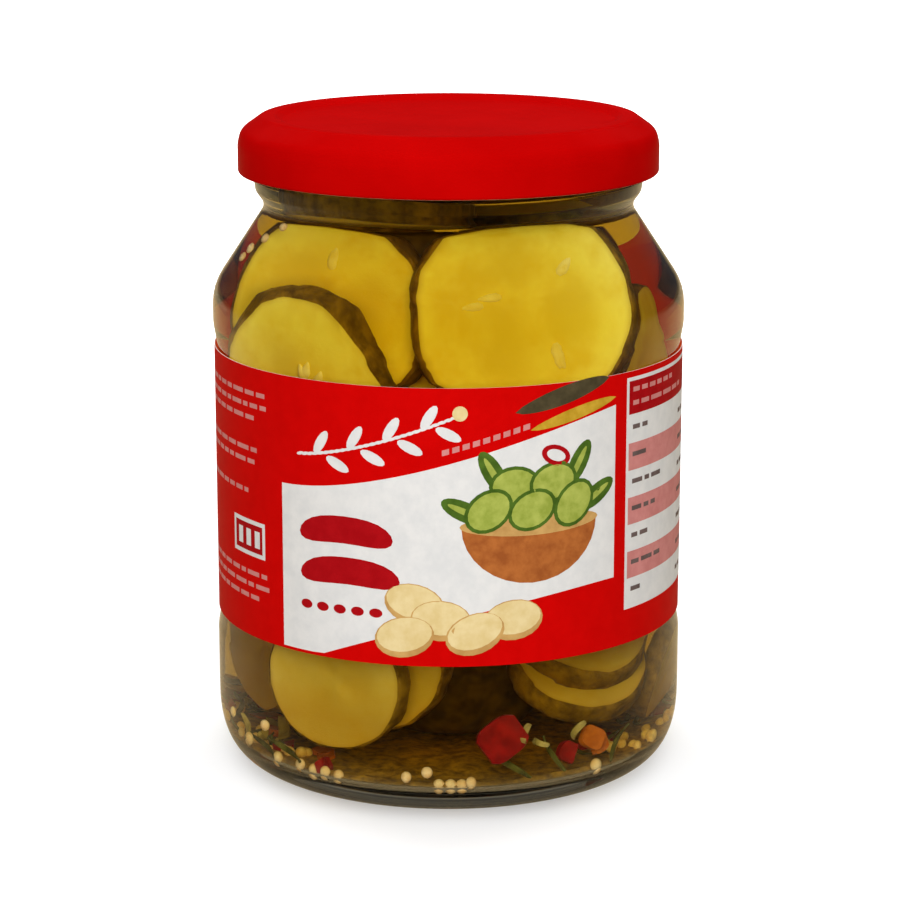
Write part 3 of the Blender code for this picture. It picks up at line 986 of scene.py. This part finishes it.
def make_core():
    """The mass of pieces in the middle, which keeps light from shining straight through."""
    outline = rounded(
        [
            (0, HEAP_FLOOR + 1 * MM, 0),
            (CORE_RADIUS, HEAP_FLOOR + 1 * MM, 5 * MM),
            (CORE_RADIUS, CORE_HIGH, 7 * MM),
            (0, CORE_HIGH + 2 * MM, 0),
        ]
    )
    bm = turned(outline, steps=48)
    ridges = [e for e in bm.edges if e.calc_length() > 6 * MM]
    bmesh.ops.subdivide_edges(bm, edges=ridges, cuts=14, use_grid_fill=True)
    for v in bm.verts:
        swell = CORE_LUMP * noise.noise(v.co * CORE_LUMPS_PER_METRE)
        v.co += Vector((v.co.x, v.co.y, 0)).normalized() * swell
    # Skin of pieces in the shade behind the others
    wet = {"Roughness": 0.5, "IOR": 1.4, "Specular IOR Level": 0.1}
    finish = mottled("Shaded gherkin skin", "5E4610", "3A2806", 3 * MM, 1.4 * MM, 0.3 * MM, wet)
    piece("heap_core", bm, [finish])


def on_wall(bearing, height, size):
    """A place just inside the glass at a bearing from the front and a height."""
    radius = inner_radius(height) - size
    angle = math.radians(bearing)
    return Vector((radius * math.sin(angle), -radius * math.cos(angle), height))


def on_floor(bearing, radius, size):
    """A place on the glass floor at a bearing from the front and a distance from the axis."""
    angle = math.radians(bearing)
    return Vector((radius * math.sin(angle), -radius * math.cos(angle), floor_height(radius) + size))


def make_mustard():
    """Mustard seeds that sank to the floor and lodged round the heel, most of them near the glass."""
    draw = random.Random(SPICE_SEED + 1)
    left = ((-72, 9.5), (-54, 10.5), (-64, 6.6), (-52, 5.4), (-43, 5.6), (-39, 5.0), (-35, 5.2), (-31, 5.0))
    front = ((-11, 6.4), (-5.5, 7.4), (-2.6, 4.9), (0.6, 4.9), (3.6, 4.9), (6.0, 5.5), (43, 5.4))
    shoulder = ((-76, 86.0), (-70, 88.2), (-63, 90.6), (-78, 84.4))
    lodged = left + front + shoulder
    places = [on_wall(bearing, height * MM, MUSTARD_RADIUS * 1.1) for bearing, height in lodged]
    for i in range(MUSTARD_ON_FLOOR):
        reach = draw.uniform(26.0, 32.0) * MM
        places.append(on_floor(draw.uniform(55, 320), reach, draw.uniform(1.0, 1.8) * MUSTARD_RADIUS))
    joined = bmesh.new()
    for place in places:
        bm = bmesh.new()
        bmesh.ops.create_icosphere(bm, subdivisions=3, radius=MUSTARD_RADIUS * draw.uniform(0.85, 1.05))
        squash = Matrix.Diagonal((1, 1, draw.uniform(0.86, 1), 1))
        bm.transform(Matrix.Translation(place) @ Matrix.Rotation(draw.uniform(0, 6), 4, "X") @ squash)
        join(joined, bm)
    # Hulls of white mustard: peach yellow, dull, paler in patches
    dull = {"Roughness": 0.5}
    finish = mottled("White mustard hull", "FADC9E", "E8BA72", 1.5 * MM, 0.3 * MM, 0.03 * MM, dull)
    piece("mustard_seeds", joined, [finish])


def shred(length, width, thickness, bend, twist):
    """A thin strip of a vegetable or herb, tapered to its ends, bent along and twisted."""
    bm = bmesh.new()
    bmesh.ops.create_grid(bm, x_segments=8, y_segments=2, size=1)
    for v in bm.verts:
        taper = 1 - 0.35 * v.co.x**4
        v.co = Vector((v.co.x * length / 2, v.co.y * width / 2 * taper, 0))
    bmesh.ops.solidify(bm, geom=bm.faces[:], thickness=thickness)
    bmesh.ops.recalc_face_normals(bm, faces=bm.faces)
    for v in bm.verts:
        along = 2 * v.co.x / length
        turn = Matrix.Rotation(twist * along, 3, "X")
        v.co = turn @ v.co + Vector((0, 0, bend * along * along))
    return bm


def pickled(name, light, dark, patch, grain, relief, roughness, shine):
    """A wet cut vegetable or herb, with its patch, grain and relief in millimetres."""
    wet = {"Roughness": roughness, "IOR": 1.4, "Specular IOR Level": shine}
    return mottled(name, light, dark, patch * MM, grain * MM, relief * MM, wet)


def scatter(name, finish, draw, shown, more, size, bend, twist):
    """Bits of one kind: those that the front shows at the glass, and more on the floor all round."""
    length, width, thickness = size
    joined = bmesh.new()
    for i in range(len(shown) + more):
        if i < len(shown):
            bearing, height, long = shown[i]
            place = on_wall(bearing, height * MM, BIT_TO_GLASS)
            stand = Matrix.Rotation(math.radians(75), 4, "X")
        else:
            bearing, long = draw.uniform(50, 325), length * draw.uniform(0.6, 1)
            place = on_floor(bearing, draw.uniform(22, 31.5) * MM, draw.uniform(0.8, 2.4) * MM)
            stand = Matrix.Rotation(math.radians(draw.uniform(-20, 50)), 4, "X")
        bm = shred(long * MM, width * MM * long / length, thickness * MM, bend * MM, twist)
        turn = Matrix.Rotation(math.radians(bearing), 4, "Z")
        spin = Matrix.Rotation(draw.uniform(-1.2, 1.2), 4, "Z")
        bm.transform(Matrix.Translation(place) @ turn @ stand @ spin)
        join(joined, bm)
    piece(name, joined, [finish])


def make_bits():
    """Cut vegetables and herbs, each place in front as its bearing, height and length."""
    draw = random.Random(SPICE_SEED + 2)
    # Red pepper: a glossy skin over thick flesh, a deeper red in patches
    finish = pickled("Pickled red pepper", "961410", "720A08", 2, 0.6, 0.05, 0.3, 0.2)
    shown = ((14, 12.4, 7.2), (33, 8.7, 3.2), (-36, 6.0, 2.4))
    scatter("pepper_bits", finish, draw, shown, 9, (6.0, 5.4, 1.5), 0.8, 0.1)
    # Carrot: diced, dull orange and a little browned
    finish = pickled("Pickled carrot", "C46A1C", "A85212", 2, 0.5, 0.05, 0.35, 0.2)
    shown = ((41, 10.3, 4.2), (44, 8.6, 3.0))
    scatter("carrot_bits", finish, draw, shown, 8, (4.0, 3.4, 1.3), 0.2, 0.1)
    # Onion: curled pale shreds that shine like wet skin
    finish = pickled("Pickled onion", "B8A45E", "8E7A3A", 3, 0.6, 0.04, 0.25, 0.5)
    shown = ((20, 13.0, 3.2), (24, 11.2, 2.8), (35, 12.1, 3.4), (-66, 8.0, 4.0))
    scatter("onion_bits", finish, draw, shown, 14, (6.0, 1.9, 0.5), 1.4, 0.7)
    # Dill: thin twisted sprigs, faded to olive
    finish = pickled("Pickled dill", "5E5A24", "3A3810", 2, 0.4, 0.06, 0.5, 0.2)
    shown = ((-58, 6.0, 7.0), (-48, 7.0, 8.0), (16, 8.0, 8.0), (28, 9.0, 7.0), (50, 8.0, 7.0))
    scatter("dill_bits", finish, draw, shown, 46, (8.0, 0.9, 0.3), 1.2, 1.6)


def make_bed():
    """The thin bed of spice crumbs on the glass floor, lumpy on top."""
    reach = [BED_RADIUS * f for f in (0, 0.25, 0.45, 0.6, 0.7, 0.78, 0.84, 0.89, 0.93, 0.97)]
    top = [(r, floor_height(r) + BED_DEPTH) for r in reach]
    low = [(r, floor_height(r) + 0.1 * MM) for r in reach]
    rim = [(BED_RADIUS, floor_height(BED_RADIUS) + 0.2 * MM)]
    bm = turned(top + rim + low[::-1], steps=120)
    for v in bm.verts:
        if v.co.z > floor_height(v.co.xy.length) + 0.5 * BED_DEPTH:
            v.co.z += BED_LUMP * noise.noise(v.co * BED_LUMPS_PER_METRE)
    # Crumbs of spice, browned by the brine
    dull = {"Roughness": 0.7}
    finish = mottled("Spice sediment", "BC9032", "6C4E16", 1.6 * MM, 0.5 * MM, 0.2 * MM, dull)
    piece("spice_bed", bm, [finish])


def studio_paper():
    """White studio paper, matt, that fades into the white backdrop a little way off."""
    made, tree, output = material("Matt studio paper")
    place = add(tree, "TexCoord")
    tooth = add(
        tree,
        "TexNoise",
        {"Scale": 1 / PAPER_TOOTH, "Detail": 3.0},
        {"Vector": place.outputs["Object"]},
    )
    bump = add(tree, "Bump", {"Strength": 0.2, "Distance": 0.02 * MM}, {"Height": tooth.outputs["Fac"]})
    reach = add(tree, "VectorMath", {"operation": "LENGTH"}, {0: place.outputs["Object"]})
    fade = add(
        tree,
        "MapRange",
        {
            "interpolation_type": "SMOOTHSTEP",
            "From Min": 0.05,
            "From Max": 0.5,
            "To Min": 0.1,
            "To Max": 0.9,
        },
        {0: reach.outputs["Value"]},
    )
    path = add(tree, "LightPath")
    glow = add(
        tree,
        "Math",
        {"operation": "MULTIPLY"},
        {0: fade.outputs[0], 1: path.outputs["Is Camera Ray"]},
    )
    # Bare to the eye and shaded to the glass, whose heel then stays as dark as in the photo
    sheet = add(
        tree,
        "Mix",
        {"data_type": "RGBA", 6: linear("BEAA84"), 7: linear("F8F8F8")},
        {0: path.outputs["Is Camera Ray"]},
    )
    shader = add(
        tree,
        "BsdfPrincipled",
        {"Roughness": 0.9, "Specular IOR Level": 0.0, "Emission Color": linear("FFFFFF")},
        {
            "Base Color": sheet.outputs[2],
            "Emission Strength": glow.outputs[0],
            "Normal": bump.outputs["Normal"],
        },
    )
    tree.links.new(shader.outputs["BSDF"], output.inputs["Surface"])
    return made


def make_floor():
    """The level paper that the jar stands on."""
    bm = bmesh.new()
    bmesh.ops.create_grid(bm, x_segments=4, y_segments=4, size=PAPER_SIZE)
    mesh = bpy.data.meshes.new("floor")
    bm.to_mesh(mesh)
    bm.free()
    mesh.materials.append(studio_paper())
    floor = bpy.data.objects.new("floor", mesh)
    bpy.context.scene.collection.objects.link(floor)


def make_lamp(name, place, size, power):
    """A soft box that lights the jar and leaves no square reflection on it."""
    lamp = bpy.data.lights.new(name, "AREA")
    lamp.shape = "RECTANGLE"
    lamp.size, lamp.size_y = size
    lamp.energy = power
    obj = bpy.data.objects.new(name, lamp)
    obj.location = place
    obj.rotation_euler = (LAMP_TARGET - Vector(place)).to_track_quat("-Z", "Y").to_euler()
    obj.visible_glossy = False
    obj.visible_camera = False
    obj.visible_transmission = False
    bpy.context.scene.collection.objects.link(obj)


def make_studio():
    """A white backdrop that lights most from above, and soft boxes in front, behind and above."""
    world = bpy.data.worlds.new("Studio")
    bpy.context.scene.world = world
    world.use_nodes = True
    tree = world.node_tree
    sky = tree.nodes["Background"]
    sky.inputs["Color"].default_value = linear("FFFFFF")
    path = add(tree, "LightPath")
    direction = add(tree, "TexCoord")
    height = add(tree, "SeparateXYZ", links={0: direction.outputs["Generated"]})
    shade = add(
        tree,
        "MapRange",
        {"From Min": 0.3, "From Max": 0.9, "To Min": LIGHT_FROM_SIDE, "To Max": LIGHT_FROM_ABOVE},
        {0: height.outputs["Z"]},
    )
    strength = add(
        tree,
        "Math",
        {"operation": "MAXIMUM"},
        {0: shade.outputs[0], 1: path.outputs["Is Camera Ray"]},
    )
    tree.links.new(strength.outputs[0], sky.inputs["Strength"])
    make_lamp("front box", (0.0, -1.15, 0.5), (0.9, 0.9), 14.4)
    make_lamp("back left box", (-0.7, 0.95, 0.8), (0.7, 0.7), 6)
    make_lamp("back right box", (0.7, 0.95, 0.8), (0.7, 0.7), 6)
    make_lamp("top box", (0.0, -0.1, 1.2), (1.4, 1.4), 7)
    bpy.context.scene.view_settings.view_transform = "Standard"


def make_camera():
    """The camera at the photo's place and pitch."""
    camera = bpy.data.cameras.new("camera")
    camera.lens = CAMERA_LENS
    camera.clip_start = 0.01
    obj = bpy.data.objects.new("camera", camera)
    obj.location = CAMERA_PLACE
    obj.rotation_euler = (math.pi / 2 - CAMERA_PITCH, 0, 0)
    bpy.context.scene.collection.objects.link(obj)
    bpy.context.scene.camera = obj


make_camera()
make_glass()
make_brine()
make_lid()
make_label()
make_print()
make_slices()
make_core()
make_bed()
make_mustard()
make_bits()
make_floor()
make_studio()
